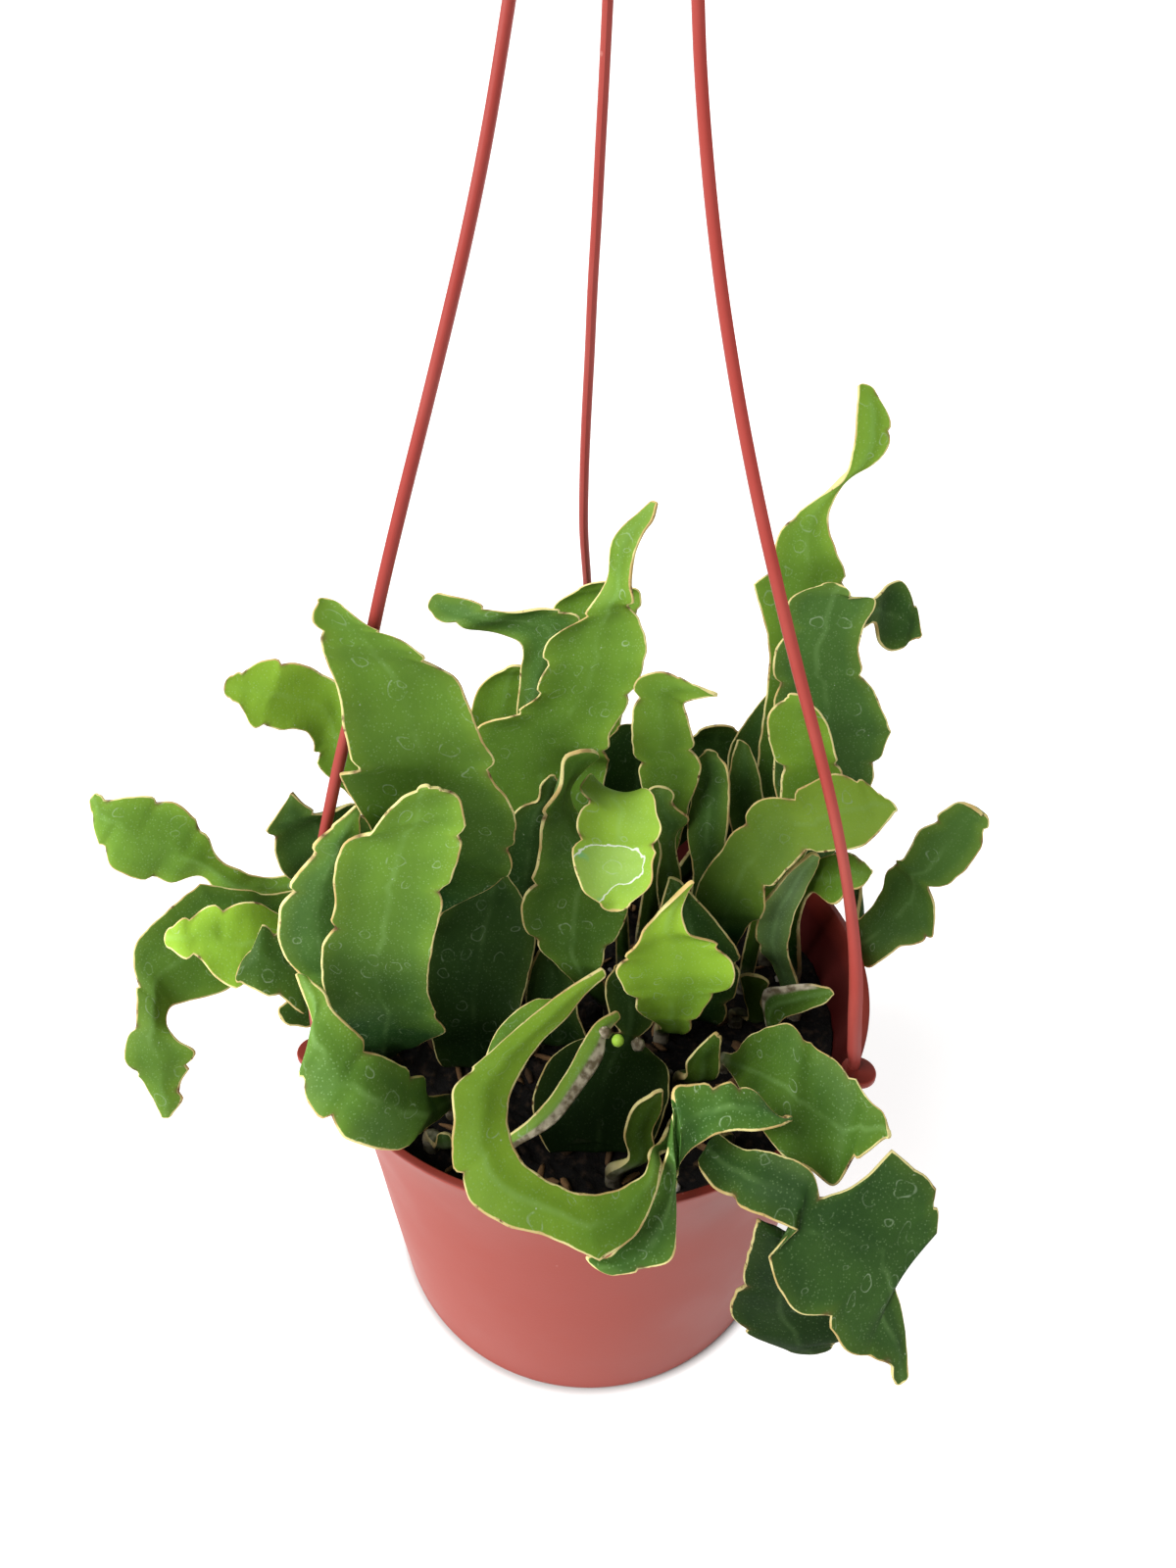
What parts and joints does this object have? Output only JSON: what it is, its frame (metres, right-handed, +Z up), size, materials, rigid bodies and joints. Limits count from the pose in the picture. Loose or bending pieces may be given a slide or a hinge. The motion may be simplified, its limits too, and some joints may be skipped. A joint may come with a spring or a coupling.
{
  "type": "potted orchid cactus",
  "caption": "Curly orchid cactus with flat, waved and twisted green stems in a flared plastic hanging pot with a three-strand hanger and hook, standing on its flat base.",
  "frame": {"origin": "middle of the pot's flat base, on the surface it stands on", "axes": "+Z up along the pot's axis, -Y towards the viewer of the picture, +X to the viewer's right"},
  "size_m": [0.2443, 0.1792, 0.424],
  "materials": {
    "pot_plastic": "terracotta-coloured satin moulded polypropylene",
    "hanger_plastic": "darker terracotta-coloured moulded polypropylene",
    "potting_mix": "near black peat and bark potting mix",
    "stem_mid_green": "waxy mid green living stem with a thin corky edge",
    "stem_dark_green": "waxy dark green living stem with a thin corky edge",
    "stem_lime_green": "waxy young lime green living stem with a cream edge",
    "stem_light_green": "waxy light green living stem with a cream edge",
    "stem_grey_green": "dull grey green living stem with a corky edge"
  },
  "bodies": {
    "root": {"hanger": "hanger_plastic", "pot": "pot_plastic", "soil": "potting_mix", "stem_back_centre_tall": "stem_mid_green", "stem_back_left_curl": "stem_dark_green", "stem_back_right_tall": "stem_mid_green", "stem_back_round": "stem_mid_green", "stem_back_top": "stem_mid_green", "stem_centre_back_dark": "stem_dark_green", "stem_centre_curl": "stem_mid_green", "stem_centre_dark": "stem_dark_green", "stem_centre_shadow": "stem_dark_green", "stem_corky_stem": "stem_light_green", "stem_front_centre": "stem_mid_green", "stem_front_curl": "stem_lime_green", "stem_front_dark": "stem_dark_green", "stem_front_fold": "stem_mid_green", "stem_front_left_broad": "stem_mid_green", "stem_front_left_stub": "stem_dark_green", "stem_front_lobe": "stem_mid_green", "stem_front_small": "stem_mid_green", "stem_left_back_dark": "stem_dark_green", "stem_left_dangling": "stem_mid_green", "stem_left_dark": "stem_dark_green", "stem_left_far": "stem_mid_green", "stem_left_high_lime": "stem_lime_green", "stem_left_lime": "stem_lime_green", "stem_left_shadow": "stem_dark_green", "stem_left_triangle": "stem_mid_green", "stem_lime_star": "stem_lime_green", "stem_middle_dark": "stem_dark_green", "stem_pale_centre": "stem_light_green", "stem_right_back_a": "stem_dark_green", "stem_right_back_b": "stem_dark_green", "stem_right_back_c": "stem_dark_green", "stem_right_broad": "stem_mid_green", "stem_right_corky": "stem_mid_green", "stem_right_dark": "stem_dark_green", "stem_right_far": "stem_dark_green", "stem_right_grey": "stem_grey_green", "stem_right_light": "stem_light_green", "stem_right_lime": "stem_lime_green", "stem_right_overhang": "stem_dark_green", "stem_right_small": "stem_mid_green", "stem_right_small_lime": "stem_lime_green", "stem_rim_fold_left": "stem_mid_green", "stem_small_dark": "stem_dark_green", "stem_star_shade": "stem_dark_green", "stem_tall_left": "stem_mid_green"}
  },
  "joints": []
}
